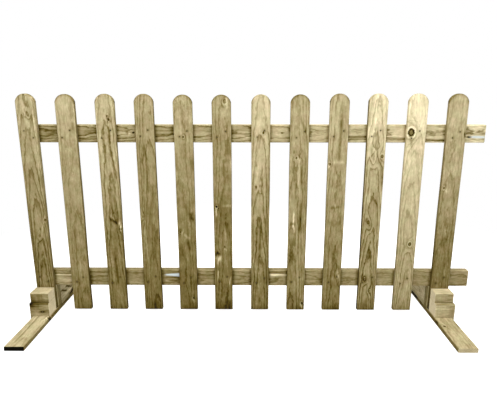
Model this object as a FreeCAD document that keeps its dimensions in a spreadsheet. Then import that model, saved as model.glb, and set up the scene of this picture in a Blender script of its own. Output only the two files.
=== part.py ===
import FreeCAD, Part
import math
import os
import Sketcher

# A free-standing picket fence panel: pickets with rounded tops nailed to the front of two
# level rails, held upright by two flat foot boards that lie across the panel's line.
# +X runs along the rails to the right, +Y towards the back, +Z up, in millimetres.
# The origin is on the ground, below the middle of the panel's overall box.

os.makedirs("parts", exist_ok=True)
doc = FreeCAD.newDocument("picket_fence_panel")
sheet = doc.addObject("Spreadsheet::Sheet", "sizes")
# Driving sizes
driving = {
    "picket_count": 12,
    "picket_pitch": 152.5,  # from one picket's edge to the next one's
    "picket_width": 75,
    "picket_thickness": 20,
    "picket_length": 905,  # from a picket's sawn foot to the crown of its round top
    "crown_rise": 30,  # height of the round top above its shoulders
    "arris_round": 3,  # rounding along the edges of pickets, rails and foot boards
    "rail_section_height": 70,
    "rail_thickness": 32,
    "rail_set_in": 9,  # from the first picket's outer edge to the rails' hidden ends
    "lower_rail_rise": 102,  # from the pickets' feet to the lower rail's underside
    "upper_rail_rise": 715,  # from the pickets' feet to the upper rail's underside
    "foot_length": 600,
    "foot_width": 75,
    "foot_thickness": 18,
    "foot_set_in": 3,  # from an end picket's outer edge to the foot board's outer edge
    "foot_front_reach": 303,  # foot board in front of the pickets' front faces
    "front_block_overhang": 6,  # lower front blocks beyond the end picket's outer edge
    "lower_block_width": 80,
    "lower_block_depth": 68,
    "lower_block_height": 58,
    "upper_block_set_in": 3.5,  # from a lower front block's outer side to the upper one's
    "upper_block_width": 76,
    "upper_block_depth_left": 60,
    "upper_block_depth_right": 51,
    "upper_block_height": 42,
    "lip_clearance": 2,  # under the lip that laps over the foot board's outer edge
    "rear_block_width": 74,
    "rear_block_depth": 160,
    "rear_block_height": 100,
}

# Sizes that follow from them
formulas = {
    "rail_length": "=round(picket_count) * picket_pitch",
    "overall_length": "=front_block_overhang + rail_set_in + rail_length",
    "first_edge": "=front_block_overhang - overall_length / 2",
    "last_edge": "=first_edge + (round(picket_count) - 1) * picket_pitch + picket_width",
    "picket_front": "=foot_front_reach - foot_length / 2",
    "rail_front": "=picket_front + picket_thickness",
    "rail_back": "=rail_front + rail_thickness",
    "crown_radius": "=(picket_width ^ 2 / 4 + crown_rise ^ 2) / (2 * crown_rise)",
    "foot_left": "=first_edge + foot_set_in",
    "foot_right": "=last_edge - foot_set_in - foot_width",
    "lip_thickness": "=front_block_overhang + foot_set_in",
    "lip_height": "=foot_thickness - lip_clearance",
    "lower_block_front": "=picket_front - lower_block_depth",
    "lower_block_left": "=first_edge - front_block_overhang",
    "lower_block_right": "=last_edge + front_block_overhang - lower_block_width",
    "upper_block_left": "=lower_block_left + upper_block_set_in",
    "upper_block_right": "=lower_block_right + lower_block_width - upper_block_set_in - upper_block_width",
}

for row, (alias, content) in enumerate((driving | formulas).items(), 1):
    sheet.set(f"A{row}", alias.replace("_", " "))
    sheet.set(f"B{row}", str(content))
    sheet.setAlias(f"B{row}", alias)
doc.recompute()

# How a sketch numbers the two ends of a line, its first line and its own origin
START, END = range(1, 3)
FIRST_LINE, SKETCH_ORIGIN = 0, -1

pieces = []


def new_body(name):
    body = doc.addObject("PartDesign::Body", name)
    body.Label = name
    pieces.append(body)
    return body


def new_sketch(body, role):
    """Start a sketch on one of the body's own origin planes."""
    plane = [feature for feature in body.Origin.OriginFeatures if feature.Role == role][0]
    sketch = body.newObject("Sketcher::SketchObject", f"{body.Name}_outline")
    sketch.AttachmentSupport = [(plane, "")]
    sketch.MapMode = "FlatFace"
    return sketch


def join(sketch, *words):
    """Add a constraint that has no size of its own."""
    sketch.addConstraint(Sketcher.Constraint(*words))


def bind(sketch, formula, *words):
    """Add a constraint whose size is a formula of the sheet's sizes."""
    index = sketch.addConstraint(Sketcher.Constraint(*words))
    sketch.setExpression(f"Constraints[{index}]", formula)


def draw_lines(sketch, corners):
    """Draw lines from corner to corner, each joined to the one before."""
    points = [FreeCAD.Vector(across, up, 0) for across, up in corners]
    for line, (start, end) in enumerate(zip(points, points[1:])):
        sketch.addGeometry(Part.LineSegment(start, end), False)
        join(sketch, "Horizontal" if start.y == end.y else "Vertical", line)
        if line > FIRST_LINE:
            join(sketch, "Coincident", line - 1, END, line, START)


def draw_section(body, role, width, height):
    """Draw a board's rectangular section with one corner on the body's origin."""
    sketch = new_sketch(body, role)
    wide = getattr(sheet, width)
    high = getattr(sheet, height)
    draw_lines(sketch, [(0, 0), (wide, 0), (wide, high), (0, high), (0, 0)])
    join(sketch, "Coincident", 3, END, FIRST_LINE, START)
    join(sketch, "Coincident", FIRST_LINE, START, SKETCH_ORIGIN, START)
    bind(sketch, f"sizes.{width}", "DistanceX", 0, START, 0, END, wide)
    bind(sketch, f"sizes.{height}", "DistanceY", 1, START, 1, END, high)
    return sketch


def draw_picket_outline(body):
    """Draw a picket's front: a rectangle whose top is an arc from shoulder to shoulder."""
    sketch = new_sketch(body, "XZ_Plane")
    wide = sheet.picket_width
    shoulder = sheet.picket_length - sheet.crown_rise
    draw_lines(sketch, [(0, shoulder), (0, 0), (wide, 0), (wide, shoulder)])
    radius = sheet.crown_radius
    middle = FreeCAD.Vector(wide / 2, sheet.picket_length - radius, 0)
    rise_angle = math.atan2(shoulder - middle.y, wide / 2)
    circle = Part.Circle(middle, FreeCAD.Vector(0, 0, 1), radius)
    left_edge, foot, right_edge = range(3)
    crown = sketch.addGeometry(Part.ArcOfCircle(circle, rise_angle, math.pi - rise_angle), False)
    join(sketch, "Coincident", right_edge, END, crown, START)
    join(sketch, "Coincident", crown, END, left_edge, START)
    join(sketch, "Coincident", foot, START, SKETCH_ORIGIN, START)
    join(sketch, "Equal", left_edge, right_edge)
    bind(sketch, "sizes.picket_width", "DistanceX", foot, START, foot, END, wide)
    bind(sketch, "sizes.picket_length - sizes.crown_rise", "DistanceY",
         right_edge, START, right_edge, END, shoulder)
    bind(sketch, "sizes.crown_radius", "Radius", crown, radius)
    return sketch


def pad(body, sketch, length, backwards):
    """Give the sketch its third dimension."""
    feature = body.newObject("PartDesign::Pad", f"{body.Name}_board")
    feature.Profile = sketch
    feature.Reversed = backwards
    feature.setExpression("Length", f"sizes.{length}")
    doc.recompute()
    return feature


def ease_edges(body, board, is_eased):
    """Round the sawn arrises that is_eased picks out."""
    names = [f"Edge{number}" for number, edge in enumerate(board.Shape.Edges, 1) if is_eased(edge.BoundBox)]
    feature = body.newObject("PartDesign::Fillet", f"{body.Name}_arrises")
    feature.Base = (board, names)
    feature.setExpression("Radius", "sizes.arris_round")


def place(piece, along, across, up):
    """Tie a piece's place to the sheet's sizes."""
    piece.setExpression("Placement.Base.x", along)
    piece.setExpression("Placement.Base.y", across)
    piece.setExpression("Placement.Base.z", up)


def make_picket(number):
    body = new_body(f"picket_{number:02d}")
    board = pad(body, draw_picket_outline(body), "picket_thickness", True)
    # both faces are eased all round, except at the sawn foot
    ease_edges(body, board, lambda box: box.YLength < sheet.arris_round and box.ZMax > sheet.arris_round)
    place(body, f"sizes.first_edge + {number - 1} * sizes.picket_pitch", "sizes.picket_front",
          "sizes.foot_thickness")


def make_rail(name, rise):
    body = new_body(name)
    section = draw_section(body, "YZ_Plane", "rail_thickness", "rail_section_height")
    board = pad(body, section, "rail_length", False)
    ease_edges(body, board, lambda box: box.XLength > sheet.rail_section_height)
    place(body, "sizes.first_edge + sizes.rail_set_in", "sizes.rail_front",
          f"sizes.foot_thickness + sizes.{rise}")


def make_foot_board(name, left_side):
    body = new_body(name)
    section = draw_section(body, "XZ_Plane", "foot_width", "foot_thickness")
    board = pad(body, section, "foot_length", True)
    ease_edges(body, board, lambda box: box.YLength > sheet.foot_width)
    place(body, left_side, "-sizes.foot_length / 2", "0")


def sawn_box(name, width, depth, height, along, across, up):
    """A square-edged piece of sawn timber."""
    box = doc.addObject("Part::Box", name)
    box.setExpression("Length", f"sizes.{width}")
    box.setExpression("Width", f"sizes.{depth}")
    box.setExpression("Height", f"sizes.{height}")
    place(box, along, across, up)
    return box


def make_block(name, width, depth, height, along, across, up):
    block = sawn_box(name, width, depth, height, along, across, up)
    block.Label = name
    pieces.append(block)


def make_lapped_block(name, along, lip_along):
    """The lower front block, which sits on the foot board and laps down over its outer edge."""
    front = "sizes.lower_block_front"
    seat = sawn_box(f"{name}_seat", "lower_block_width", "lower_block_depth", "lower_block_height",
                    along, front, "sizes.foot_thickness")
    lip = sawn_box(f"{name}_lip", "lip_thickness", "lower_block_depth", "lip_height",
                   lip_along, front, "sizes.lip_clearance")
    block = doc.addObject("Part::Fuse", name)
    block.Label = name
    block.Base, block.Tool = seat, lip
    block.Refine = True
    pieces.append(block)


def make_blocks(side, lip_side, rear_side):
    """The four blocks on one foot board: two stacked in front, a spacer and a long one behind."""
    on_foot = "sizes.foot_thickness"
    make_lapped_block(f"front_block_lower_{side}", f"sizes.lower_block_{side}", lip_side)
    upper_depth = f"upper_block_depth_{side}"
    make_block(f"front_block_upper_{side}", "upper_block_width", upper_depth, "upper_block_height",
               f"sizes.upper_block_{side}", f"sizes.picket_front - sizes.{upper_depth}",
               f"{on_foot} + sizes.lower_block_height")
    make_block(f"rear_spacer_{side}", "rear_block_width", "rail_thickness", "lower_rail_rise",
               rear_side, "sizes.rail_front", on_foot)
    make_block(f"rear_block_{side}", "rear_block_width", "rear_block_depth", "rear_block_height",
               rear_side, "sizes.rail_back", on_foot)


for number in range(1, round(sheet.picket_count) + 1):
    make_picket(number)

make_rail("rail_top", "upper_rail_rise")
make_rail("rail_bottom", "lower_rail_rise")

make_foot_board("foot_board_left", "sizes.foot_left")
make_foot_board("foot_board_right", "sizes.foot_right")

make_blocks("left", "sizes.lower_block_left", "sizes.foot_left + sizes.foot_width - sizes.rear_block_width")
make_blocks("right", "sizes.foot_right + sizes.foot_width", "sizes.foot_right")

doc.recompute()

for thing in doc.Objects:
    if "Invalid" in thing.State or "Error" in thing.State:
        raise RuntimeError(f"{thing.Label} failed: {thing.State}")

for piece in pieces:
    if piece.Shape.isNull() or not piece.Shape.isValid() or len(piece.Shape.Solids) != 1:
        raise RuntimeError(f"{piece.Label} is not one sound solid")

for piece in pieces:
    piece.Shape.exportStep(f"parts/{piece.Label}.step")
    box = piece.Shape.BoundBox
    print(piece.Label, f"x {box.XMin:.2f} to {box.XMax:.2f}", f"y {box.YMin:.2f} to {box.YMax:.2f}",
          f"z {box.ZMin:.2f} to {box.ZMax:.2f}")
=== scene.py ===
import math
from dataclasses import dataclass, field

import bmesh
import bpy
import numpy as np
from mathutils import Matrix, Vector


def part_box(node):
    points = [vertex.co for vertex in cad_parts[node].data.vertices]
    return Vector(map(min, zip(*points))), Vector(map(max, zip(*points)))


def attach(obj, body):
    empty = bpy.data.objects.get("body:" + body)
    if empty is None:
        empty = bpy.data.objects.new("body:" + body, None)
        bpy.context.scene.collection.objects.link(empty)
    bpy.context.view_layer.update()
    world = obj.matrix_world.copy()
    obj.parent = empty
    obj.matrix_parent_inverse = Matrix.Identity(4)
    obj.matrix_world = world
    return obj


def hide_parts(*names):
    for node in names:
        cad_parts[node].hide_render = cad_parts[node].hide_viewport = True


# A free-standing picket fence panel in pressure-treated softwood. Each board is built along its
# own grain: "along" runs with the fibres from the board's first end, "across" over its face from
# the middle line, and "depth" from the face into the board. All three are in millimetres.

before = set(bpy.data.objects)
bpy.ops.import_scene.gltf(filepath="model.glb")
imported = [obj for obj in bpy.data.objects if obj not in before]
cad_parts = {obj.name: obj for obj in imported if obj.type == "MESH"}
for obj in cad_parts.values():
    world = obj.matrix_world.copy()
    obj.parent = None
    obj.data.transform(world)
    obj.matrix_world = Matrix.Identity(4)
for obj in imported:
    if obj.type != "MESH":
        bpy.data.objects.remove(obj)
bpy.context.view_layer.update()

MM = 0.001
RIGHT, BACK, UP = Vector((1, 0, 0)), Vector((0, 1, 0)), Vector((0, 0, 1))
INWARDS = {"left": RIGHT, "right": -RIGHT}

# How high the arc of a picket's round top is, in millimetres
CROWN_RISE = 30

# How finely a board's mesh is divided, in millimetres, and in steps round its curves
FACE_STEP, SIDE_STEP, LENGTH_STEP = 3, 5, 5
ARRIS_STEPS, CROWN_STEPS = 3, 18

# The width of growth rings on a board's face and on its sawn end, in millimetres
RING_WIDTH, END_RING_WIDTH = 5.5, 5.0

# How far a knot is drawn, in its own radii, and its width as a share of its length
KNOT_REACH, KNOT_OVAL = 2.9, 0.8

# How much marks darken the wood and how far they reach in millimetres
MARK_DEPTH = 12
FOOT_DIRT_REACH, HEAD_DIRT_REACH, FLOOR_DARKENING_REACH = 14, 7, 13
RIM_DIRT, RIM_REACH = 0.16, 2.2
# painted shade in the corners beside whatever crosses a board: how dark, and how far it reaches
CORNER_SHADE, CORNER_SHADE_REACH = 0.2, 7
NAIL_STAIN, NAIL_STAIN_REACH = 0.2, 5

# Each rail's two nails, this far above and beside its middle, and the block's one
NAIL_RISE, NAIL_ASIDE = 12, 17
BLOCK_NAIL = (52, -9)

# The floor, in metres: its half side, and where the shadow that the camera sees fades out
FLOOR_HALF, SHADOW_FADE = 14.0, (1.2, 2.0)
FLOOR_GLOW = 0.72

# The viewpoint, fitted to the boards' edges in the photograph
CAMERA_PLACE = (0.00125, -1.8123, 0.9373)
CAMERA_DOWN, CAMERA_TURN = 13.892, 0.427
CAMERA_LENS, CAMERA_SENSOR = 33.33, 36

# A Mix node's sockets for colours
COLOUR_A, COLOUR_B, COLOUR_OUT = 6, 7, 2


# What the timber is like

@dataclass
class Knot:
    """Where a branch left the trunk."""
    along: float
    across: float
    radius: float
    strength: float


@dataclass
class Mark:
    """A streak of resin or damp in the grain, or a pale one where its strength is below 0. Those along the
    foot boards' inner edges are painted shade.
    """
    start: tuple
    end: tuple
    half_width: float
    strength: float


def band(first, last, strength, half_width=36):
    """A stretch of the board that is a little darker or paler over its whole face."""
    return Mark((first, 0), (last, 0), half_width, strength)


@dataclass
class Timber:
    """One board's wood: how light it is at both ends, from 0 to 1, on the pickets partly painted light, and
    how it was cut from the log.
    """
    first_tone: float
    last_tone: float
    # the log's centre: how far behind the face and to the side, and how fast it falls away
    pith: tuple
    run_out: float = 0.022
    knots: list = field(default_factory=list)
    marks: list = field(default_factory=list)
    # where splinters have torn off
    bare: list = field(default_factory=list)
    # how much darker the round top and the first end are, and how much shade is painted on the two sides, the
    # lower or left side first
    head_dirt: float = 0.03
    foot_dirt: float = 0.12
    side_shade: tuple = (0.07, 0.07)
    # how strongly the rings show, their width, and how far they sway
    figure: float = 1.0
    ring_width: float = 7
    sway: float = 2
    # how far the board stands to the right of its place, and how much shorter it is sawn
    set_out: float = 0
    cut_short: float = 0


PICKETS = [
    # 1: pointed arches, a swirl in the head and a knot at the right edge
    Timber(
        0.36, 0.6, pith=(20, 2), run_out=0.045, side_shade=(0.1, 0.04), figure=1.1, ring_width=6, sway=1.2,
        set_out=-1,
        knots=[Knot(834, 4, 4, 0.4), Knot(822, 10, 4, 0.3), Knot(846, -4, 3, 0.3), Knot(399, 31, 5, 1.1),
               Knot(330, 2, 5, 0.4)],
        marks=[Mark((890, 29), (600, 30), 2.5, -0.16), Mark((820, -8), (790, 6), 6, -0.1),
               Mark((500, -30), (60, -28), 5, 0.08), Mark((395, 24), (340, 12), 4, -0.12)]),
    # 2: plain, with two faint knots
    Timber(
        0.41, 0.65, pith=(60, 20), head_dirt=0.14, side_shade=(0.07, 0.17), figure=0.6, sway=2.5, cut_short=2,
        knots=[Knot(588, 10, 3, 0.4), Knot(700, -8, 5, 0.2)],
        marks=[Mark((660, -20), (560, -18), 8, 0.05), Mark((380, -14), (330, -6), 3, 0.1),
               Mark((210, 6), (150, 4), 4, -0.08)]),
    # 3: knots in the head, and lines down to a split at the right edge
    Timber(
        0.35, 0.64, pith=(24, 4), run_out=0.03, side_shade=(0.07, 0.12), ring_width=8, set_out=3, cut_short=1,
        knots=[Knot(820, 8, 3.5, 1.2), Knot(806, 14, 4, 1.4), Knot(412, 8, 5, 0.1), Knot(361, 31, 5, 1.2),
               Knot(842, -2, 2, 0.8)],
        marks=[Mark((826, 18), (796, 8), 2, 0.26), Mark((812, 8), (800, 20), 2, 0.2),
               Mark((815, 13), (809, 15), 2.5, -0.25), Mark((770, -10), (600, -8), 3, 0.14),
               Mark((760, 10), (560, 22), 3, 0.16), Mark((650, 6), (560, 2), 6, 0.08),
               Mark((520, 2), (440, 2), 5, 0.14), Mark((226, 1), (130, 5), 4.5, 0.2),
               Mark((384, 28), (378, 31), 3.5, -0.45), Mark((364, 31), (358, 31), 2.5, -0.35),
               Mark((403, -9), (384, 18), 2.5, 0.26), Mark((452, -1), (392, 14), 2.5, 0.16),
               Mark((414, -6), (407, 2), 2.5, -0.16), Mark((470, 20), (392, 26), 2, 0.16),
               band(640, 540, -0.06), band(390, 350, 0.06, 30), band(10, 0, -0.05, 30),
               Mark((330, -22), (322, -20), 3, -0.16)]),
    # 4: plain, with a small knot at the left edge
    Timber(
        0.34, 0.57, pith=(48, 18), side_shade=(0.07, 0.16), figure=0.8, ring_width=5, sway=1.5, set_out=2,
        cut_short=1,
        knots=[Knot(413, -25, 5, 0.5)],
        marks=[Mark((702, -6), (668, -8), 3, 0.16), Mark((668, -8), (640, -16), 3, 0.1),
               Mark((690, -4), (650, 2), 2.5, 0.14), Mark((600, 0), (520, 2), 3, 0.12),
               Mark((395, -24), (240, -14), 4, -0.1)]),
    # 5: a dark knot high up, three smaller ones further down
    Timber(
        0.335, 0.62, pith=(50, -16), head_dirt=0.14, side_shade=(0.07, 0.1), figure=0.6, set_out=1,
        cut_short=4,
        knots=[Knot(739, -1, 3.5, 1.7), Knot(414, 22, 5, 0.25), Knot(348, -26, 4, 0.8), Knot(53, 22, 4, 0.9)],
        marks=[Mark((820, -10), (745, -8), 3, -0.1), Mark((635, 32), (622, 32), 6, 0.14),
               Mark((632, -32), (622, -32), 6, 0.1), Mark((440, 6), (416, 14), 9, 0.11),
               Mark((424, 18), (424, 26), 2.5, 0.16), Mark((407, 20), (403, 28), 3, 0.24),
               Mark((404, 10), (384, 12), 5, -0.08), Mark((334, -8), (322, 8), 3, -0.16),
               Mark((300, 6), (284, 10), 6, 0.16), Mark((352, -14), (342, -20), 3, -0.14),
               Mark((48, 14), (38, 26), 3, -0.16)]),
    # 6: a knot in the head, a dark one at the left edge, torn grain low down
    Timber(
        0.305, 0.555, pith=(40, 16), head_dirt=0.1, side_shade=(0.07, 0.1), figure=0.7, set_out=-1,
        cut_short=4,
        knots=[Knot(876, 14, 7, 0.9), Knot(456, -25, 4, 2.3), Knot(449, -17, 2.5, 1.1),
               Knot(252, -18, 5, 0.3), Knot(284, 6, 3, 0.8)],
        marks=[band(905, 860, -0.05), band(250, 0, -0.05), Mark((884, 20), (858, 22), 4, -0.24),
               Mark((880, 2), (890, 16), 3, 0.14), Mark((460, -4), (461, 34), 1.5, -0.12),
               Mark((452, 6), (400, 10), 14, 0.07), Mark((648, 36), (612, 34), 7, -0.12),
               Mark((448, -27), (424, -26), 3, -0.45), Mark((368, 6), (318, 12), 3, -0.16),
               Mark((246, -36), (258, -24), 3.5, 0.22), Mark((258, -24), (250, -12), 2.5, 0.2),
               Mark((240, -12), (216, -24), 4, -0.2), Mark((236, -34), (230, -12), 4, -0.16),
               Mark((172, -22), (146, -22), 2.5, -0.36), Mark((148, 30), (120, 26), 3, -0.22),
               Mark((276, 4), (270, 12), 2, -0.2)]),
    # 7: arches, with a knot high up and one left of the middle
    Timber(
        0.32, 0.735, pith=(26, 0), run_out=0.04, figure=1.1, sway=1.5, cut_short=3,
        knots=[Knot(755, 10, 4, 1.5), Knot(539, -18, 4, 0.75), Knot(524, 2, 4, 0.2)],
        marks=[Mark((360, 2), (280, -2), 4, 0.18), Mark((280, -2), (250, -2), 6, 0.1),
               Mark((610, 6), (592, 4), 3, 0.16), Mark((585, 2), (560, -3), 1.5, 0.14),
               Mark((548, 8), (540, 2), 2.2, 0.18), Mark((527, 4), (520, 4), 3, 0.2), band(905, 860, 0.03),
               Mark((880, 33), (480, 33), 7, 0.08), Mark((880, -33), (480, -33), 7, 0.08),
               band(120, 0, -0.05), Mark((740, 0), (700, -6), 2.5, 0.12),
               Mark((560, 27), (120, 28), 6, 0.07)]),
    # 8: a knot above the middle, a split one below, one near the foot
    Timber(
        0.395, 0.605, pith=(46, -20), head_dirt=0.14, side_shade=(0.14, 0.07), figure=0.9, ring_width=6,
        cut_short=3,
        knots=[Knot(656, -10, 4, 1.3), Knot(672, 6, 4, 0.2), Knot(384, -20, 4, 0.3), Knot(30, 28, 5, 1.4)],
        marks=[Mark((250, 12), (120, 12), 20, -0.05), band(520, 480, -0.04, 30),
               Mark((806, 4), (764, 22), 4, 0.16), Mark((684, 10), (664, 0), 3, 0.14),
               Mark((656, -4), (648, 2), 3, -0.2), Mark((612, 10), (560, 14), 4, 0.14),
               Mark((452, 11), (414, 10), 8, 0.18), Mark((400, 11), (362, 9), 4, 0.24),
               Mark((424, -16), (396, -17), 2.4, -0.42), Mark((620, -1), (510, 1), 5, -0.09),
               Mark((545, -9), (495, -10), 1.8, 0.14), Mark((620, 24), (480, 26), 12, 0.05),
               Mark((385, -27), (381, -27), 2.2, 0.34), Mark((384, -12), (380, -12), 2.2, 0.26),
               Mark((381, -20), (377, -20), 2, -0.2), Mark((372, -16), (350, -14), 3, -0.3),
               Mark((260, -24), (220, -24), 7, 0.1), Mark((22, 22), (16, 28), 3, -0.3)]),
    # 9: a knot at the left edge, a long dark streak above it
    Timber(
        0.38, 0.645, pith=(54, 12), head_dirt=0.08, side_shade=(0.04, 0.07), figure=0.85, ring_width=6,
        sway=1.5,
        knots=[Knot(632, -31, 5, 1.3), Knot(164, 24, 5, 0.4)],
        marks=[Mark((790, 8), (655, 6), 6, 0.16), Mark((880, 8), (780, 10), 2.5, 0.06),
               Mark((640, -20), (640, 22), 2, -0.1), Mark((628, -34), (622, -33), 2.5, -0.3),
               Mark((620, -8), (596, -2), 2, 0.14), Mark((596, -2), (580, 8), 2, 0.14),
               Mark((462, -2), (458, -1), 2.5, -0.34), Mark((452, -18), (456, 14), 2, 0.16),
               Mark((168, 22), (158, 26), 4, -0.18)]),
    # 10: bold arches, swirls and a dark left edge
    Timber(
        0.385, 0.765, pith=(22, -2), run_out=0.05, side_shade=(0.27, 0.07), figure=1.35, ring_width=6, sway=1,
        set_out=-3,
        knots=[Knot(668, -8, 7, 0.2), Knot(636, -6, 5, 0), Knot(664, 26, 6, 1.2), Knot(392, -12, 7, 0.6),
               Knot(368, -4, 5, 0), Knot(140, -12, 6, 0.6), Knot(89, 9, 5, 0.8)],
        marks=[Mark((905, -38), (250, -38), 2.5, 0.18), band(520, 460, 0.07), band(110, 90, -0.04, 16),
               Mark((640, 22), (560, 30), 9, 0.12), Mark((900, -6), (720, -14), 6, -0.06),
               Mark((690, -16), (664, -16), 2, 0.24), Mark((664, -16), (682, -4), 2, 0.2)]),
    # 11: the palest, with a large knot high up and one low down
    Timber(
        0.495, 0.85, pith=(24, 2), run_out=0.05, figure=0.75, ring_width=6.5, sway=1.5, set_out=-2,
        knots=[Knot(757, -21, 12.5, 2.8), Knot(298, 11, 6.5, 1.7)],
        marks=[Mark((757, -21), (756, -21), 5, -0.15), Mark((738, -24), (716, -16), 5, 0.16),
               Mark((730, -6), (700, 0), 8, 0.05), Mark((284, -8), (268, -12), 3, 0.12),
               band(110, 0, -0.04)]),
    # 12: plain, with a dark left edge and a dark dot at the right one
    Timber(
        0.34, 0.66, pith=(55, -10), head_dirt=0.14, side_shade=(0.12, 0.07), figure=0.6, sway=2.5, set_out=1,
        knots=[Knot(535, -27, 4, 1.3), Knot(352, 2, 4, 0.4)],
        marks=[Mark((526, -20), (520, -14), 2.5, -0.12), Mark((358, -4), (346, -2), 3, -0.18),
               Mark((330, 8), (322, 6), 3, 0.14), Mark((750, 32), (746, 34), 2.6, 0.6), band(640, 500, -0.06),
               band(130, 80, -0.05)]),
]

# Dark and pale streaks in the gaps between the pickets, and a bare strip at the right end
RAIL_TOP = Timber(
    0.48, 0.73, pith=(26, 8), run_out=0.04, foot_dirt=0, figure=1.05, ring_width=6.5,
    knots=[Knot(437, 4, 4, 1.3), Knot(1028, 3, 4, 0.9), Knot(1062, 12, 3, 0.7)],
    marks=[Mark((60, 16), (200, 14), 4, 0.12), Mark((40, -6), (180, -10), 3, 0.1),
           Mark((214, -22), (324, -14), 2.5, 0.14), Mark((250, 10), (324, 14), 2.5, 0.14),
           Mark((380, 12), (440, 4), 3, 0.14), Mark((524, 12), (634, 10), 3, 0.14),
           Mark((524, -4), (634, -2), 3, 0.1), Mark((684, 12), (784, 8), 3, 0.12),
           Mark((684, -14), (784, -10), 3, 0.12), Mark((360, 0), (425, 3), 8, -0.12),
           Mark((834, -2), (934, 2), 2.5, 0.14), Mark((834, 14), (934, 8), 2.5, 0.1),
           Mark((1274, -13), (1360, -10), 4, 0.26), Mark((1360, -12), (1694, -27), 3, 0.24),
           Mark((1274, -4), (1694, -17), 4, -0.08), band(990, 1050, -0.03, 24), band(1134, 1211, 0.03, 30),
           band(1600, 1660, 0.03, 30), Mark((1759, 22), (1828, 20), 12, -0.04),
           Mark((1759, -24), (1828, -24), 8, -0.06), Mark((1764, -2), (1822, -2), 3.5, 0.09),
           Mark((1824, 2), (1829, 1), 4, 0.26), Mark((1827, 28), (1829, 24), 3, 0.16),
           Mark((1827, -24), (1829, -26), 3, 0.14), Mark((1765, -12), (1767, -13), 2.6, 1.0)],
    bare=[Mark((1786, -12), (1820, -13), 4, 1.0)])

# The same, and splinters torn off between the fourth and fifth pickets
RAIL_BOTTOM = Timber(
    0.475, 0.535, pith=(48, -6), foot_dirt=0, figure=0.7,
    marks=[Mark((78, 13), (164, 13), 2.5, -0.4), Mark((74, -12), (164, -12), 16, -0.12),
           Mark((544, 0), (592, 2), 3, 0.16), Mark((550, -11), (584, -12), 3, 0.22),
           Mark((545, 13), (570, 14), 5, -0.2), Mark((546, -12), (548, -12), 2.5, -0.26),
           Mark((560, 22), (588, 24), 3, 0.1), Mark((994, 16), (1074, 14), 3, -0.36),
           Mark((998, 12), (1012, 12), 4, -0.3), Mark((994, 28), (1074, 28), 3, 0.14),
           Mark((234, -20), (464, -24), 3, -0.08), Mark((684, -2), (854, -6), 3, 0.1),
           Mark((1134, -4), (1234, -6), 2.5, 0.12)],
    bare=[Mark((548, 14), (594, 18), 2.5, 0.9), Mark((548, 14), (594, 9), 2.5, 0.9),
          Mark((566, 14), (594, 14), 3, 0.9)])

# the dark lines along each board's inner edge, 38 mm from its middle, are painted shade beside the blocks and
# pickets
FOOT_BOARDS = {
    "left": Timber(
        0.69, 0.71, pith=(40, 8), foot_dirt=0, side_shade=(0.05, 0.08), figure=0.5,
        knots=[Knot(420, 12, 9, 0.7), Knot(224, 36, 8, 1.8)],
        marks=[Mark((0, 38), (215, 38), 3.5, 0.14), Mark((250, 38), (600, 38), 3, 0.3),
               Mark((40, -10), (236, -12), 3, 0.14), Mark((205, 22), (225, 28), 5, -0.14),
               Mark((10, 30), (120, 28), 6, 0.06)]),
    "right": Timber(
        0.66, 0.68, pith=(36, -12), foot_dirt=0, side_shade=(0.1, 0.05), figure=0.5,
        knots=[Knot(163, -22, 5, 1.8), Knot(470, 10, 8, 0.7)],
        marks=[Mark((0, -38), (200, -38), 3.5, 0.16), Mark((200, -38), (600, -38), 3, 0.3),
               Mark((440, -37), (530, -37), 4, 0.4), Mark((150, -18), (140, -12), 3, 0.12),
               Mark((180, 10), (130, 14), 3, 0.08), Mark((196, 34), (160, 33), 3, 0.3)]),
}

FRONT_BLOCKS = {
    "upper_left": Timber(
        0.47, 0.5, pith=(30, 8), foot_dirt=0.1,
        marks=[Mark((0, -19), (76, -19), 4, 0.16), Mark((0, 2), (10, -16), 6, 0.14),
               Mark((34, 16), (34, -18), 2, 0.1), Mark((46, 14), (46, -18), 2, 0.08)]),
    "lower_left": Timber(
        0.49, 0.5, pith=(44, -12), foot_dirt=0.1,
        marks=[Mark((51, -9), (53, -9), 3.2, 0.7), Mark((0, 27), (76, 27), 5, 0.2),
               Mark((5, 26), (9, 15), 5, 0.24), Mark((36, 24), (36, 4), 2, 0.1),
               Mark((0, -24), (76, -24), 7, -0.1)]),
    "upper_right": Timber(
        0.56, 0.56, pith=(30, 8), foot_dirt=0,
        marks=[Mark((0, -19), (76, -19), 3, 0.16)]),
    "lower_right": Timber(
        0.64, 0.66, pith=(44, -12), foot_dirt=0,
        marks=[Mark((0, 27), (76, 27), 4, 0.1), Mark((68, 20), (70, -24), 5, 0.1)]),
}

REAR_BLOCKS = {
    "left": Timber(
        0.64, 0.62, pith=(50, 10), foot_dirt=0,
        knots=[Knot(146, -6, 9, 1.6)],
        marks=[Mark((12, 7), (55, -14), 3, 0.6), Mark((62, 6), (112, -18), 3, 0.6),
               Mark((106, -46), (128, -34), 7, 0.6), Mark((60, -22), (90, -24), 9, -0.12),
               Mark((0, -44), (160, -44), 10, 0.1)]),
    "right": Timber(
        0.63, 0.63, pith=(50, 10), foot_dirt=0,
        knots=[Knot(60, -10, 8, 0.6)],
        marks=[Mark((0, -44), (160, -44), 10, 0.1)]),
}

REAR_SPACER = Timber(0.5, 0.5, pith=(40, 6), foot_dirt=0.1)


# Colours and nodes

def linear(hex_colour):
    """An sRGB hex colour as Blender's linear red, green, blue and alpha."""
    channels = [int(hex_colour[i:i + 2], 16) / 255 for i in (0, 2, 4)]
    return [c / 12.92 if c <= 0.04045 else ((c + 0.055) / 1.055) ** 2.4 for c in channels] + [1.0]


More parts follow.
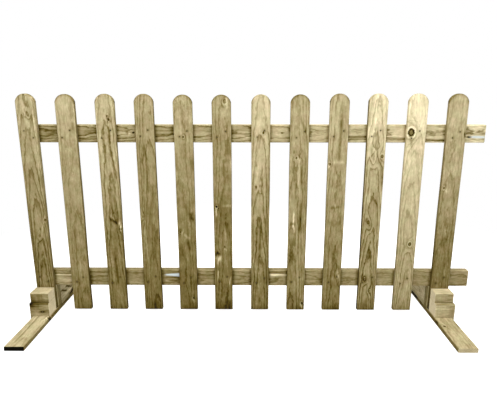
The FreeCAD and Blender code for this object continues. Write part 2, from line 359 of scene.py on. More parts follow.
def add(tree, kind, inputs=None, **settings):
    """Add a node. An input that is a socket, or a node's first output, is linked; else it is a value."""
    made = tree.nodes.new(kind)
    for name, value in settings.items():
        setattr(made, name, value)
    for key, value in (inputs or {}).items():
        if isinstance(value, bpy.types.Node):
            value = value.outputs[0]
        if isinstance(value, bpy.types.NodeSocket):
            tree.links.new(value, made.inputs[key])
        else:
            made.inputs[key].default_value = value
    return made


def new_material(name):
    """A material with an empty tree of nodes."""
    material = bpy.data.materials.new(name)
    material.use_nodes = True
    tree = material.node_tree
    tree.nodes.clear()
    return material, tree


def new_object(name, data):
    """An object that stands in the scene."""
    made = bpy.data.objects.new(name, data)
    bpy.context.scene.collection.objects.link(made)
    return made


def set_stops(ramp, stops):
    """Give a colour ramp its stops: a position and a colour, or a position and a grey."""
    elements = ramp.color_ramp.elements
    while len(elements) < len(stops):
        elements.new(0.5)
    for element, (position, colour) in zip(elements, stops):
        element.position = position
        element.color = linear(colour) if isinstance(colour, str) else (colour, colour, colour, 1)


# Preservative turns pine a greenish brown: the same hue from dark latewood to pale sapwood
WOOD_TONES = [(0.02, "0C0903"), (0.10, "241B0B"), (0.27, "564717"), (0.43, "7D6F46"), (0.59, "A59773"),
              (0.75, "CDBF9B"), (0.92, "FAEBC7")]


def stretched_noise(tree, place, scale, detail, roughness=0.5):
    """Noise that repeats a given number of times in a metre across, along and into the board."""
    stretched = add(tree, "ShaderNodeVectorMath", {0: place, 1: scale}, operation="MULTIPLY")
    return add(tree, "ShaderNodeTexNoise",
               {"Vector": stretched, "Scale": 1, "Detail": detail, "Roughness": roughness})


def fibres(tree, place, width, length):
    """Noise drawn out along the grain, 0 to 1, width and length in millimetres."""
    scale = (1 / (width * MM), 1 / (length * MM), 1 / (width * MM))
    return stretched_noise(tree, place, scale, 4, 0.6)


def growth_rings(tree, ring_width):
    """Dark latewood lines, 0 to 1, at each growth ring around the pith."""
    place = add(tree, "ShaderNodeAttribute", attribute_name="timber").outputs["Vector"]
    flat = add(tree, "ShaderNodeVectorMath", {0: place, 1: (1, 0, 1)}, operation="MULTIPLY")
    radius = add(tree, "ShaderNodeVectorMath", {0: flat}, operation="LENGTH").outputs["Value"]
    # rings are never true circles: they wander by a millimetre or two every 110 mm along the grain
    wander = stretched_noise(tree, place, (45, 9, 45), 3, 0.55)
    radius = add(tree, "ShaderNodeMath", {0: wander, 1: 6 * MM, 2: radius}, operation="MULTIPLY_ADD")
    # and they ripple where the fibres are wavy, a millimetre or so every 25 mm
    ripple = stretched_noise(tree, place, (140, 40, 140), 2)
    radius = add(tree, "ShaderNodeMath", {0: ripple, 1: 4 * MM, 2: radius}, operation="MULTIPLY_ADD")
    count = add(tree, "ShaderNodeMath", {0: radius, 1: ring_width * MM}, operation="DIVIDE")
    phase = add(tree, "ShaderNodeMath", {0: count}, operation="FRACT")
    profile = add(tree, "ShaderNodeValToRGB", {"Fac": phase})
    set_stops(profile, [(0.0, 0.1), (0.3, 0.0), (0.62, 0.25), (0.8, 0.9), (0.88, 1.0), (1.0, 0.1)])
    # a wet summer leaves a darker line than a dry one
    ring = add(tree, "ShaderNodeMath", {0: count}, operation="FLOOR")
    season = add(tree, "ShaderNodeTexWhiteNoise", {"W": ring}, noise_dimensions="1D")
    depth = add(tree, "ShaderNodeMapRange", {"Value": season, "To Min": 0.35, "To Max": 1.0})
    line = add(tree, "ShaderNodeMath", {0: profile, 1: depth}, operation="MULTIPLY")
    return place, line


def knot_shades(tree, place):
    """How much darker the knots and the grain round them are, or paler where it is below 0."""
    # the grey of plain wood below, and how ragged a knot's rim is, every 7 mm
    plain, ragged_rim = 0.2, 0.34
    ragged = add(tree, "ShaderNodeTexNoise", {"Vector": place, "Scale": 150, "Detail": 3, "Roughness": 0.7})
    shade = 0.0
    for layer in ("knot_0", "knot_1"):
        local = add(tree, "ShaderNodeAttribute", attribute_name=layer).outputs["Vector"]
        strength = add(tree, "ShaderNodeSeparateXYZ", {"Vector": local}).outputs["Z"]
        flat = add(tree, "ShaderNodeVectorMath", {0: local, 1: (1 / KNOT_REACH, 1 / KNOT_REACH, 0)},
                   operation="MULTIPLY")
        away = add(tree, "ShaderNodeVectorMath", {0: flat}, operation="LENGTH").outputs["Value"]
        uneven = add(tree, "ShaderNodeMath", {0: ragged, 1: ragged_rim, 2: away}, operation="MULTIPLY_ADD")
        uneven = add(tree, "ShaderNodeMath", {0: uneven, 1: ragged_rim / 2}, operation="SUBTRACT")
        # a hard brown core in a dark rim of bark; the grain that sweeps round it shows pale, then dark
        profile = add(tree, "ShaderNodeValToRGB", {"Fac": uneven})
        set_stops(profile, [(0.0, 0.75), (0.12, 0.62), (0.2, 0.7), (0.27, 1.0), (0.33, 0.6), (0.4, 0.12),
                            (0.5, 0.1), (0.62, 0.3), (0.8, 0.24), (1.0, plain)])
        depth = add(tree, "ShaderNodeMath", {0: profile, 1: plain}, operation="SUBTRACT")
        shade = add(tree, "ShaderNodeMath", {0: depth, 1: strength, 2: shade}, operation="MULTIPLY_ADD")
    return shade


def wood_colour(tree, tone, patterns):
    """The colour of a board's tone, which each pattern shifts by its gain times itself and its offset."""
    for pattern, gain, offset in patterns:
        shift = add(tree, "ShaderNodeMath", {0: pattern, 1: gain, 2: offset}, operation="MULTIPLY_ADD")
        tone = add(tree, "ShaderNodeMath", {0: tone, 1: shift}, operation="ADD")
    colour = add(tree, "ShaderNodeValToRGB", {"Fac": tone})
    set_stops(colour, WOOD_TONES)
    return colour


def treated_softwood(name, latewood=0.24, saw_marks=0.0, roughness=0.8):
    """Pressure-treated pine: growth rings, fibre streaks, knots and blotchy preservative."""
    material, tree = new_material(name)
    place, line = growth_rings(tree, RING_WIDTH)
    tone, stain_and_shade, wear, figure, bare = (
        add(tree, "ShaderNodeAttribute", attribute_name=layer).outputs["Fac"]
        for layer in ("tone", "stain_and_shade", "wear", "figure", "bare"))
    knots = knot_shades(tree, place)
    streaky = fibres(tree, place, 9, 130)
    # single fibres are far too thin to show, so these are bundles of them about 4 mm wide
    fine = fibres(tree, place, 4, 38)
    mottled = fibres(tree, place, 4.5, 13)
    # the preservative soaks in unevenly, in blotches about 45 mm wide
    blotchy = add(tree, "ShaderNodeTexNoise", {"Vector": place, "Scale": 22, "Detail": 3, "Roughness": 0.6})

    # a plain board shows its rings and streaks faintly, a figured one strongly
    drawn = add(tree, "ShaderNodeMath", {0: line, 1: -latewood}, operation="MULTIPLY")
    drawn = add(tree, "ShaderNodeMath", {0: streaky, 1: 0.24, 2: drawn}, operation="MULTIPLY_ADD")
    drawn = add(tree, "ShaderNodeMath", {0: drawn, 1: 0.04}, operation="SUBTRACT")
    drawn = add(tree, "ShaderNodeMath", {0: drawn, 1: figure}, operation="MULTIPLY")
    # stains, and the painted shade carried with them, creep along the fibres
    creep = add(tree, "ShaderNodeMath", {0: fine, 1: 1.6, 2: 0.2}, operation="MULTIPLY_ADD")
    crept = add(tree, "ShaderNodeMath", {0: stain_and_shade, 1: creep}, operation="MULTIPLY")
    patterns = [(drawn, 1.0, 0.0), (knots, -0.36, 0.0), (crept, -1.0, 0.0), (wear, 0.05, 0.0),
                (fine, 0.26, -0.14), (mottled, 0.2, -0.1), (blotchy, 0.2, -0.13)]
    if saw_marks:
        # the saw leaves a faint ridge across the grain every 3 mm
        ridges = stretched_noise(tree, place, (6, 1 / (3 * MM), 6), 1)
        patterns.append((ridges, saw_marks, -saw_marks / 2))
    colour = wood_colour(tree, tone, patterns)
    # the preservative leans greener or browner every 30 mm or so
    lean = add(tree, "ShaderNodeTexNoise", {"Vector": place, "Scale": 35, "Detail": 2})
    tint = add(tree, "ShaderNodeValToRGB", {"Fac": lean})
    set_stops(tint, [(0.35, "FAFFF7"), (0.65, "FFFCFA")])
    tinted = add(tree, "ShaderNodeMix", {"Factor": 1.0, COLOUR_A: colour, COLOUR_B: tint},
                 data_type="RGBA", blend_type="MULTIPLY")
    # where splinters have torn off, the wood below is bare and pale grey
    torn = add(tree, "ShaderNodeMath", {0: bare, 1: creep}, operation="MULTIPLY", use_clamp=True)
    surface = add(tree, "ShaderNodeMix",
                  {"Factor": torn, COLOUR_A: tinted.outputs[COLOUR_OUT], COLOUR_B: linear("CDD8DA")},
                  data_type="RGBA")

    # latewood and fibres stand proud of the softer wood by about a tenth of a millimetre
    relief = add(tree, "ShaderNodeMath", {0: line, 1: 0.5, 2: fine}, operation="MULTIPLY_ADD")
    relief = add(tree, "ShaderNodeMath", {0: knots, 1: -0.8, 2: relief}, operation="MULTIPLY_ADD")
    bump = add(tree, "ShaderNodeBump", {"Height": relief, "Strength": 0.6, "Distance": 0.5 * MM})
    shader = add(tree, "ShaderNodeBsdfPrincipled",
                 {"Base Color": surface.outputs[COLOUR_OUT], "Roughness": roughness, "IOR": 1.5,
                  "Specular IOR Level": 0.05, "Normal": bump})
    add(tree, "ShaderNodeOutputMaterial", {"Surface": shader})
    return material


def sawn_end(name):
    """End grain as the saw leaves it: the rings as arcs, and open pores that roughen it."""
    material, tree = new_material(name)
    place, line = growth_rings(tree, END_RING_WIDTH)
    tone = add(tree, "ShaderNodeAttribute", attribute_name="tone").outputs["Fac"]
    # real pores are too fine to show, so these are a millimetre wide, in patches of about 17 mm
    pores = add(tree, "ShaderNodeTexNoise", {"Vector": place, "Scale": 900, "Detail": 2})
    patches = add(tree, "ShaderNodeTexNoise", {"Vector": place, "Scale": 60, "Detail": 3})
    colour = wood_colour(tree, tone, [(line, -0.14, 0.0), (pores, 0.12, -0.06), (patches, 0.14, -0.07)])
    bump = add(tree, "ShaderNodeBump", {"Height": pores, "Strength": 0.5, "Distance": 0.6 * MM})
    shader = add(tree, "ShaderNodeBsdfPrincipled",
                 {"Base Color": colour, "Roughness": 0.85, "IOR": 1.5, "Specular IOR Level": 0.03,
                  "Normal": bump})
    add(tree, "ShaderNodeOutputMaterial", {"Surface": shader})
    return material


def galvanised_steel(name):
    """Hot-dip galvanised wire nail: dull zinc with a 2.5 mm spangle, stained dark by the preservative."""
    material, tree = new_material(name)
    place = add(tree, "ShaderNodeTexCoord").outputs["Object"]
    spangle = add(tree, "ShaderNodeTexNoise", {"Vector": place, "Scale": 1 / (2.5 * MM), "Detail": 2})
    colour = add(tree, "ShaderNodeValToRGB", {"Fac": spangle})
    set_stops(colour, [(0.35, "30260F"), (0.6, "524628")])
    shader = add(tree, "ShaderNodeBsdfPrincipled",
                 {"Base Color": colour, "Metallic": 0.5, "Roughness": 0.6})
    add(tree, "ShaderNodeOutputMaterial", {"Surface": shader})
    return material


# Building a board

def crown_radius(width, rise):
    """The radius of the arc that rounds a picket's top."""
    return (width ** 2 / 4 + rise ** 2) / (2 * rise)


def board_rings(length, width, thickness, arris, crown_rise):
    """Rings of points round the board from foot to head: across, along and depth, in millimetres."""
    # each station is half the flat face's width, the place along, and the way its side faces
    shoulder = length - crown_rise
    stations = [(width / 2 - arris, along, 0.0)
                for along in np.linspace(0, shoulder, math.ceil(shoulder / LENGTH_STEP) + 1)]
    if crown_rise:
        radius = crown_radius(width, crown_rise)
        start = math.asin((radius - crown_rise) / radius)
        for angle in np.linspace(start, math.pi / 2, CROWN_STEPS + 1)[1:]:
            stations.append(((radius - arris) * math.cos(angle),
                             length - radius + (radius - arris) * math.sin(angle), angle))
    face_steps = math.ceil((width - 2 * arris) / FACE_STEP)
    across_face = np.linspace(-1, 1, face_steps + 1)[1:-1]
    turns = np.linspace(0, math.pi / 2, ARRIS_STEPS + 1)
    side = np.linspace(arris, thickness - arris, max(3, round(thickness / SIDE_STEP)))[1:-1]
    edge = [(arris * math.sin(turn), arris * (1 - math.cos(turn))) for turn in turns]
    edge += [(arris, depth) for depth in side]
    edge += [(arris * math.cos(turn), thickness - arris + arris * math.sin(turn)) for turn in turns]
    rings = []
    for half, along, angle in stations:
        out_across, out_along = math.cos(angle), math.sin(angle)
        right = [(half + out * out_across, along + out * out_along, depth) for out, depth in edge]
        left = [(-across, up, depth) for across, up, depth in reversed(right)]
        face = [(half * share, along, 0.0) for share in across_face]
        back = [(-half * share, along, thickness) for share in across_face]
        rings.append(face + right + back + left)
    return np.array(rings)


def ease_sawn_ends(rings, width, thickness, both_ends):
    """Break the sharp edge of each sawn end by under a millimetre, as handling does."""
    break_off = 0.8
    shrink = np.array([1 - 2 * break_off / width, 1, 1 - 2 * break_off / thickness])
    middle = np.array([0, 0, thickness / 2])
    first = (rings[:1] - middle) * shrink + middle
    rings = np.concatenate([first, rings])
    rings[1, :, 1] += break_off
    if both_ends:
        last = (rings[-1:] - middle) * shrink + middle
        rings = np.concatenate([rings, last])
        rings[-2, :, 1] -= break_off
    return rings


def drop_lip(rings, reach, drop, from_first):
    """Carry the lower side of a block down by drop, over a short reach from one of its ends."""
    length = rings[:, 0, 1].max()
    edge = reach if from_first else length - reach
    cut = int(np.searchsorted(rings[:, 0, 1], edge))
    lowered, kept = rings[cut].copy(), rings[cut].copy()
    lowered[:, 1] = kept[:, 1] = edge
    pair = [lowered, kept] if from_first else [kept, lowered]
    rings = np.concatenate([rings[:cut], pair, rings[cut:]])
    within = np.arange(len(rings)) <= cut if from_first else np.arange(len(rings)) > cut
    # the lower side and its arrises lie within 2 mm of the lowest point
    under = rings[:, :, 0] <= rings[:, :, 0].min() + 2
    rings[:, :, 0] -= drop * (within[:, None] & under)
    return rings


def wave(rng, along, height, turns_per_metre):
    """A smooth random line along the board, as high as height: the mean of a few sines."""
    total = np.zeros_like(along)
    for turns in turns_per_metre:
        total += np.sin(2 * math.pi * (turns * along / 1000 + rng.random())) / len(turns_per_metre)
    return height * total


def spread(marks, along, across, depth):
    """How strongly marks show at each point: they fade slowly along the grain and sharply across it."""
    # they belong to the face, and go about a centimetre into the board
    shallow = np.exp(-(depth / MARK_DEPTH) ** 2)
    total = np.zeros(len(along))
    for mark in marks:
        start, end = np.array(mark.start), np.array(mark.end)
        span = end - start
        place = np.stack([along, across], axis=1) - start
        share = np.clip(place @ span / (span @ span), 0, 1)
        away = place - share[:, None] * span
        fade = np.exp(-(away[:, 0] / (3 * mark.half_width)) ** 2 - (away[:, 1] / mark.half_width) ** 2)
        total += shallow * (mark.strength * fade)
    return total


def grain_round_knots(knots, across, along, depth):
    """Each point's place beside its nearest knot, and where the grain that swells round knots puts it."""
    pushed, sunk = across.copy(), depth.copy()
    # neighbouring knots go on two layers in turn, so that none shares a face of the mesh with the next
    layers = np.zeros((2, len(along), 3))
    reach = np.full((2, len(along)), KNOT_REACH)
    for number, knot in enumerate(sorted(knots, key=lambda knot: knot.along)):
        sideways, lengthways = across - knot.across, along - knot.along
        ratio = np.hypot(sideways, KNOT_OVAL * lengthways) / knot.radius
        layer, nearest = layers[number % 2], reach[number % 2]
        closer = ratio < nearest
        nearest[closer] = ratio[closer]
        layer[closer] = np.stack([sideways / knot.radius, KNOT_OVAL * lengthways / knot.radius,
                                  np.full(len(along), knot.strength)], axis=1)[closer]
        # the grain swells in a lens twice as long as it is wide
        lens = np.exp(-(sideways / (2.0 * knot.radius)) ** 2 - (lengthways / (4.0 * knot.radius)) ** 2)
        pushed -= 0.5 * sideways * lens
        sunk += 1.3 * knot.radius * lens
    return layers, pushed, sunk


def grain_fields(points, timber, width, thickness, length, crown_rise, rng):
    """What the materials read at each point: the place in the log, knots, stains and painted shade, tone and
    wear.
    """
    across, along, depth = points.T
    layers, pushed, sunk = grain_round_knots(timber.knots, across, along, depth)
    pith_depth, pith_across = timber.pith
    pith_across = pith_across + wave(rng, along, 6, [0.7, 1.9])
    # where the trunk bends, the rings run out of the face and draw long arches
    pith_depth = pith_depth + timber.run_out * along + wave(rng, along, timber.sway, [1.9, 3.7, 6.1])
    tightness = RING_WIDTH / timber.ring_width
    log = np.stack([(pushed - pith_across) * tightness, along + 1000 * rng.random(),
                    (sunk + pith_depth) * tightness], axis=1) * MM

    # each board grows lighter from its first end to its last; on the pickets, from foot to head, this is
    # partly the wood's own colour and partly painted light from above
    tone = timber.first_tone + (timber.last_tone - timber.first_tone) * along / length
    tone -= timber.foot_dirt * np.exp(-along / FOOT_DIRT_REACH)
    from_side = width / 2 - np.abs(across)
    from_face = np.minimum(depth, thickness - depth)
    # painted shade: the two sides of a board are darker, as less light falls on them than on its face
    left_shade, right_shade = timber.side_shade
    tone -= np.where(across < 0, left_shade, right_shade) * np.clip(1 - from_side, 0, 1)
    if crown_rise:
        # the round top is end grain, dark from 12 mm below the shoulder on and darkest at its rim
        radius = crown_radius(width, crown_rise)
        from_arc = radius - np.hypot(across, along - length + radius)
        on_crown = np.clip((along - length + crown_rise + 12) / 16, 0, 1)
        tone -= on_crown * (timber.head_dirt * np.exp(-(from_arc / HEAD_DIRT_REACH) ** 2)
                            + RIM_DIRT * np.exp(-(from_arc / RIM_REACH) ** 2))
    # the arrises are worn paler, here more and there less
    near_arris = np.exp(-((from_side / RIM_REACH) ** 2 + (from_face / RIM_REACH) ** 2))
    wear = near_arris * (0.6 + wave(rng, along, 0.6, [7, 13, 23]))
    return {"timber": log, "knot_0": layers[0], "knot_1": layers[1], "tone": tone, "wear": wear,
            "stain_and_shade": spread(timber.marks, along, across, depth),
            "bare": spread(timber.bare, along, across, depth),
            "figure": np.full(len(points), timber.figure)}


def weather(fields, points, world, top, floor_darkening, painted_top_light, crossings, nails):
    """Darker near the floor, painted light from above, painted shade beside what crosses the board, and
    stains round nails.
    """
    # boards that lie on the floor are darker within about 13 mm of it, and painted light from above brightens
    # the top of each board, fading out 2.5 mm below it
    fields["tone"] -= floor_darkening * np.exp(-(world[:, 2] / (FLOOR_DARKENING_REACH * MM)) ** 2)
    fields["tone"] += painted_top_light * np.clip((world[:, 2] - top + 2.5 * MM) / (2 * MM), 0, 1)
    # painted shade darkens the corners beside whatever crosses the board
    for place in crossings:
        fields["stain_and_shade"] += CORNER_SHADE * np.exp(-((world[:, 0] - place) / (CORNER_SHADE_REACH * MM)) ** 2
                                                 - (points[:, 2] / MARK_DEPTH) ** 2)
    # iron and tannin leave a dark ring on the face round each nail
    on_face = points[:, 2] < 1
    for place, aside in nails:
        away = np.hypot(points[:, 1] - place, points[:, 0] - aside)
        fields["stain_and_shade"] += np.where(on_face, NAIL_STAIN * np.exp(-(away / NAIL_STAIN_REACH) ** 2), 0)


def closed_board(name, world, around, both_ends, fields, materials):
    """The board's closed mesh from its rings of points, with what the materials read at each point."""
    count = len(world) // around
    faces = [(ring * around + spot, ring * around + (spot + 1) % around,
              (ring + 1) * around + (spot + 1) % around, (ring + 1) * around + spot)
             for ring in range(count - 1) for spot in range(around)]
    ends = [tuple(range(around))]
    if both_ends:
        ends.append(tuple(range((count - 1) * around, count * around)))
    mesh = bpy.data.meshes.new(name)
    mesh.from_pydata(world.tolist(), [], faces + ends)
    for layer_name, values in fields.items():
        kind, item = ("FLOAT_VECTOR", "vector") if values.ndim == 2 else ("FLOAT", "value")
        layer = mesh.attributes.new(layer_name, kind, "POINT")
        layer.data.foreach_set(item, values.astype(np.float32).ravel())
    for material in materials:
        mesh.materials.append(material)
    mesh.polygons.foreach_set("material_index", [0] * len(faces) + [1] * len(ends))

    shell = bmesh.new()
    shell.from_mesh(mesh)
    bmesh.ops.remove_doubles(shell, verts=shell.verts, dist=1e-6)
    bmesh.ops.recalc_face_normals(shell, faces=shell.faces)
    shell.to_mesh(mesh)
    shell.free()
    mesh.shade_smooth()
    mesh.set_sharp_from_angle(angle=math.radians(35))
    return mesh


def make_board(node, timber, axes, materials, arris=3.0, crown_rise=0.0, floor_darkening=0.0, painted_top_light=0.0,
               crossings=(), nails=(), end_tones=None, seat=None, lip=None):
    """Build a board in its solid's place. axes are its across, along and depth directions.

    crossings are the edges of what crosses it, beside which shade is painted, and nails the places (along,
    across) that rust stains.
    end_tones are the tones of its first and last end. A block with a lip rests at the height seat, and
    lip is the lip's reach, below 0 at the last end.
    """
    low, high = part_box(node)
    if seat is not None:
        lip_drop = (seat - low.z) / MM
        low.z = seat
    size = high - low
    width, length, thickness = (abs(size.dot(axis)) / MM for axis in axes)
    across, along, depth = axes
    start = (low + high) / 2 - (length * along + thickness * depth) * MM / 2
    # each board's name gives its own seed
    rng = np.random.default_rng(sum(ord(letter) * (place + 1) for place, letter in enumerate(node)))

    sawn_length = length - timber.cut_short
    rings = board_rings(sawn_length, width, thickness, arris, crown_rise)
    rings = ease_sawn_ends(rings, width, thickness, both_ends=not crown_rise)
    if lip is not None:
        rings = drop_lip(rings, abs(lip), lip_drop, from_first=lip > 0)
    around = rings.shape[1]
    points = rings.reshape(-1, 3)
    fields = grain_fields(points, timber, width, thickness, sawn_length, crown_rise, rng)

    bent = points.copy()
    bent[:, 0] += timber.set_out
    if crown_rise:
        # a picket is never quite straight: it wanders by about half a millimetre
        bent[:, 0] += wave(rng, points[:, 1], 0.6, [1.1, 2.3])
        bent[:, 2] += wave(rng, points[:, 1], 0.4, [1.0, 2.1])
    world = (np.array(start) + MM * (bent[:, :1] * np.array(across) + bent[:, 1:2] * np.array(along)
                                     + bent[:, 2:] * np.array(depth)))
    weather(fields, points, world, high.z, floor_darkening, painted_top_light, crossings, nails)
    if end_tones:
        fields["tone"][:around], fields["tone"][-around:] = end_tones

    name = f"{node}_timber"
    mesh = closed_board(name, world, around, not crown_rise, fields, materials)
    board = new_object(name, mesh)
    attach(board, "root")
    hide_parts(node)


# The pieces

def nail_spots(number):
    """A picket's nails at each rail: the height of the rail's middle, and the way up and across from it."""
    rng = np.random.default_rng(number)
    # only the first picket's nails run down to the right
    slope = -1 if number == 1 else 1
    for rail in ("rail_top", "rail_bottom"):
        low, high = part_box(rail)
        for side in (-1, 1):
            up = slope * side * NAIL_RISE + rng.uniform(-4, 4)
            yield (low.z + high.z) / 2, up, side * NAIL_ASIDE + rng.uniform(-5, 4)


def make_pickets(materials):
    """Twelve upright boards with round tops."""
    axes = (RIGHT, UP, BACK)
    for number, timber in enumerate(PICKETS, 1):
        node = f"picket_{number:02d}"
        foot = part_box(node)[0].z
        nails = [((middle - foot) / MM + up, aside) for middle, up, aside in nail_spots(number)]
        make_board(node, timber, axes, materials, crown_rise=CROWN_RISE, nails=nails)


def make_rails(materials):
    """Two level boards behind the pickets, with shade painted in the corners beside them."""
    axes = (UP, RIGHT, BACK)
    edges = []
    for number, timber in enumerate(PICKETS, 1):
        low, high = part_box(f"picket_{number:02d}")
        edges += [low.x + timber.set_out * MM, high.x + timber.set_out * MM]
    # painted light from above brightens each rail's top
    for node, timber, painted_top_light in (("rail_top", RAIL_TOP, 0.14), ("rail_bottom", RAIL_BOTTOM, 0.12)):
        make_board(node, timber, axes, materials, painted_top_light=painted_top_light, crossings=edges)


def make_foot_boards(materials):
    """A flat board under each end, lying front to back."""
    axes = (RIGHT, BACK, -UP)
    # the left board's front end has soaked up water and gone black; the right one's is freshly cut
    ends = {"left": (-0.05, 0.4), "right": (0.66, 0.4)}
    for side, timber in FOOT_BOARDS.items():
        make_board(f"foot_board_{side}", timber, axes, materials, floor_darkening=0.16,
                   end_tones=ends[side])


def make_blocks(materials):
    """At each end two stacked blocks in front, and a spacer and a long block behind."""
    lying = (UP, RIGHT, BACK)
    # painted light from above brightens the upper blocks' tops, more at the left
    painted_top_lights = {"left": 0.28, "right": 0.22}
    outer_tone, inner_tone = 0.6, 0.8
    for side, inwards in INWARDS.items():
        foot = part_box(f"foot_board_{side}")
        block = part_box(f"front_block_lower_{side}")
        seat = foot[1].z
        # the lip laps over the foot board's outer edge
        if side == "left":
            lip, end_tones = (foot[0].x - block[0].x) / MM, (outer_tone, inner_tone)
        else:
            lip, end_tones = (foot[1].x - block[1].x) / MM, (inner_tone, outer_tone)
        make_board(f"front_block_upper_{side}", FRONT_BLOCKS[f"upper_{side}"], lying, materials,
                   arris=1.5, painted_top_light=painted_top_lights[side], end_tones=end_tones)
        make_board(f"front_block_lower_{side}", FRONT_BLOCKS[f"lower_{side}"], lying, materials,
                   arris=1.5, end_tones=end_tones, seat=seat, lip=lip)
        make_board(f"rear_spacer_{side}", REAR_SPACER, (RIGHT, UP, BACK), materials,
                   arris=2)
        make_board(f"rear_block_{side}", REAR_BLOCKS[side], (UP, BACK, -inwards), materials,
                   arris=1.5)


def nail_tree(head_material):
    """Nail heads on every point of a mesh, each struck a little askew."""
    tree = bpy.data.node_groups.new("nail_heads", "GeometryNodeTree")
    for name, kind in (("Geometry", "Geometry"), ("Head radius", "Float"), ("Head thickness", "Float"),
                       ("Tilt", "Float"), ("Seed", "Int")):
        tree.interface.new_socket(name, in_out="INPUT", socket_type=f"NodeSocket{kind}")
    tree.interface.new_socket("Geometry", in_out="OUTPUT", socket_type="NodeSocketGeometry")
    given = add(tree, "NodeGroupInput").outputs
    head = add(tree, "GeometryNodeMeshCylinder",
               {"Vertices": 20, "Radius": given["Head radius"], "Depth": given["Head thickness"]},
               fill_type="TRIANGLE_FAN")
    low = add(tree, "ShaderNodeMath", {0: given["Tilt"], 1: -1}, operation="MULTIPLY")
    lean = add(tree, "FunctionNodeRandomValue", {"Min": low, "Max": given["Tilt"], "Seed": given["Seed"]},
               data_type="FLOAT").outputs["Value"]
    # the cylinder stands along Z, so a quarter turn about X lays its head against the front
    lean_x = add(tree, "ShaderNodeMath", {0: lean, 1: math.pi / 2}, operation="ADD")
    facing = add(tree, "ShaderNodeCombineXYZ", {"X": lean_x, "Z": lean})
    placed = add(tree, "GeometryNodeInstanceOnPoints",
                 {"Points": given["Geometry"], "Instance": head, "Rotation": facing})
    solid = add(tree, "GeometryNodeRealizeInstances", {"Geometry": placed})
    dressed = add(tree, "GeometryNodeSetMaterial", {"Geometry": solid, "Material": head_material})
    add(tree, "NodeGroupOutput", {"Geometry": dressed})
    return tree


def make_nails(steel):
    """Two nails at each crossing of picket and rail, and one in the lower block at the left."""
    points = []
    for number, timber in enumerate(PICKETS, 1):
        low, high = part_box(f"picket_{number:02d}")
        centre = (low.x + high.x) / 2 + timber.set_out * MM
        for middle, up, aside in nail_spots(number):
            points.append((centre + aside * MM, low.y, middle + up * MM))
    low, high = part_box("front_block_lower_left")
    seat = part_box("foot_board_left")[1].z
    aside, up = BLOCK_NAIL
    points.append((low.x + aside * MM, low.y, (seat + high.z) / 2 + up * MM))
    places = bpy.data.meshes.new("nail_places")
    places.from_pydata(points, [], [])
    holder = new_object("nail_places", places)
    tree = nail_tree(steel)
    modifier = holder.modifiers.new("nails", "NODES")
    modifier.node_group = tree
    sizes = {"Head radius": 2.8 * MM, "Head thickness": 0.9 * MM, "Tilt": 0.12, "Seed": 3}
    for item in tree.interface.items_tree:
        if item.in_out == "INPUT" and item.name in sizes:
            modifier[item.identifier] = sizes[item.name]
    evaluated = holder.evaluated_get(bpy.context.evaluated_depsgraph_get())
    nails = new_object("nail_heads", bpy.data.meshes.new_from_object(evaluated))
    bpy.data.objects.remove(holder)
    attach(nails, "root")


# Floor, light and camera

def make_floor():
    """A pale matt floor that the camera sees as white, apart from the panel's soft shadow."""
    material, tree = new_material("matt_white_paper_floor")
    seen = add(tree, "ShaderNodeLightPath").outputs
    paper = add(tree, "ShaderNodeBsdfDiffuse", {"Color": linear("DDDDDD")})
    glow = add(tree, "ShaderNodeEmission", {"Color": linear("FFFFFF"), "Strength": FLOOR_GLOW})
    lit = add(tree, "ShaderNodeAddShader", {0: paper, 1: glow})
    # beyond the panel's shadow the floor is plain white out to the horizon
    white = add(tree, "ShaderNodeEmission", {"Color": linear("FFFFFF"), "Strength": 1.0})
    place = add(tree, "ShaderNodeTexCoord").outputs["Object"]
    away = add(tree, "ShaderNodeVectorMath", {0: place}, operation="LENGTH").outputs["Value"]
    fade_start, fade_end = SHADOW_FADE
    fade = add(tree, "ShaderNodeMapRange", {"Value": away, "From Min": fade_start, "From Max": fade_end})
    shown = add(tree, "ShaderNodeMixShader", {0: fade, 1: lit, 2: white})
    for_camera = add(tree, "ShaderNodeMixShader", {0: seen["Is Camera Ray"], 1: paper, 2: shown})
    add(tree, "ShaderNodeOutputMaterial", {"Surface": for_camera})
    mesh = bpy.data.meshes.new("floor")
    corners = [(x * FLOOR_HALF, y * FLOOR_HALF, 0) for x, y in ((-1, -1), (1, -1), (1, 1), (-1, 1))]
    mesh.from_pydata(corners, [], [(0, 1, 2, 3)])
    mesh.materials.append(material)
    floor = new_object("floor", mesh)


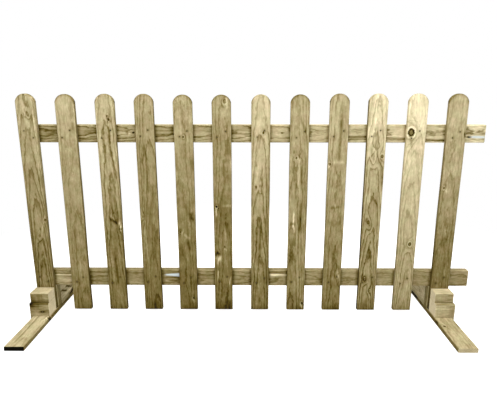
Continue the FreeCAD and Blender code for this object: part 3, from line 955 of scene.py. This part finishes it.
def make_lights():
    """Broad soft lights in front, behind and overhead, and a pale room all round."""
    world = bpy.data.worlds.new("pale_room")
    bpy.context.scene.world = world
    world.use_nodes = True
    tree = world.node_tree
    tree.nodes.clear()
    seen = add(tree, "ShaderNodeLightPath").outputs
    # the room is white to the camera and in reflections, and dimmer where it lights the wood
    clear = add(tree, "ShaderNodeMath", {0: seen["Is Camera Ray"], 1: seen["Is Transmission Ray"]},
                operation="MAXIMUM")
    clear = add(tree, "ShaderNodeMath", {0: clear, 1: seen["Is Glossy Ray"]}, operation="MAXIMUM")
    room = add(tree, "ShaderNodeBackground", {"Color": linear("FFFFFF"), "Strength": 0.34})
    white = add(tree, "ShaderNodeBackground", {"Color": linear("FFFFFF"), "Strength": 1.0})
    shown = add(tree, "ShaderNodeMixShader", {0: clear, 1: room, 2: white})
    add(tree, "ShaderNodeOutputWorld", {"Surface": shown})
    for name, place, size, power in (("front_softbox", (-0.2, -3.4, 2.2), (3.0, 2.0), 62.0),
                                     ("back_softbox", (0.2, 3.4, 2.2), (3.0, 2.0), 48.0),
                                     ("overhead_softbox", (0.0, -0.5, 2.8), (3.4, 1.8), 98.0)):
        data = bpy.data.lights.new(name, "AREA")
        data.shape = "RECTANGLE"
        data.size, data.size_y = size
        data.energy = power
        lamp = new_object(name, data)
        lamp.location = place
        aim = Vector((0, 0, 0.5)) - lamp.location
        lamp.rotation_euler = aim.to_track_quat("-Z", "Y").to_euler()


def make_camera():
    """The viewpoint of the photograph: head-on, a little above the pickets' tops, looking down."""
    data = bpy.data.cameras.new("viewpoint")
    data.sensor_width = CAMERA_SENSOR
    data.lens = CAMERA_LENS
    camera = new_object("viewpoint", data)
    camera.location = CAMERA_PLACE
    camera.rotation_euler = (math.radians(90 - CAMERA_DOWN), 0, math.radians(CAMERA_TURN))
    bpy.context.scene.camera = camera


make_camera()
make_floor()
make_lights()
bpy.context.scene.view_settings.view_transform = "Standard"

planed = treated_softwood("pressure_treated_pine_planed")
rail_face = treated_softwood("pressure_treated_pine_rail", latewood=0.3)
sawn = treated_softwood("pressure_treated_pine_sawn", latewood=0.14, saw_marks=0.1, roughness=0.9)
end_grain = sawn_end("pressure_treated_pine_end_grain")
nail_steel = galvanised_steel("galvanised_nail_steel")

make_pickets([planed, end_grain])
make_rails([rail_face, end_grain])
make_foot_boards([planed, end_grain])
make_blocks([sawn, end_grain])
make_nails(nail_steel)
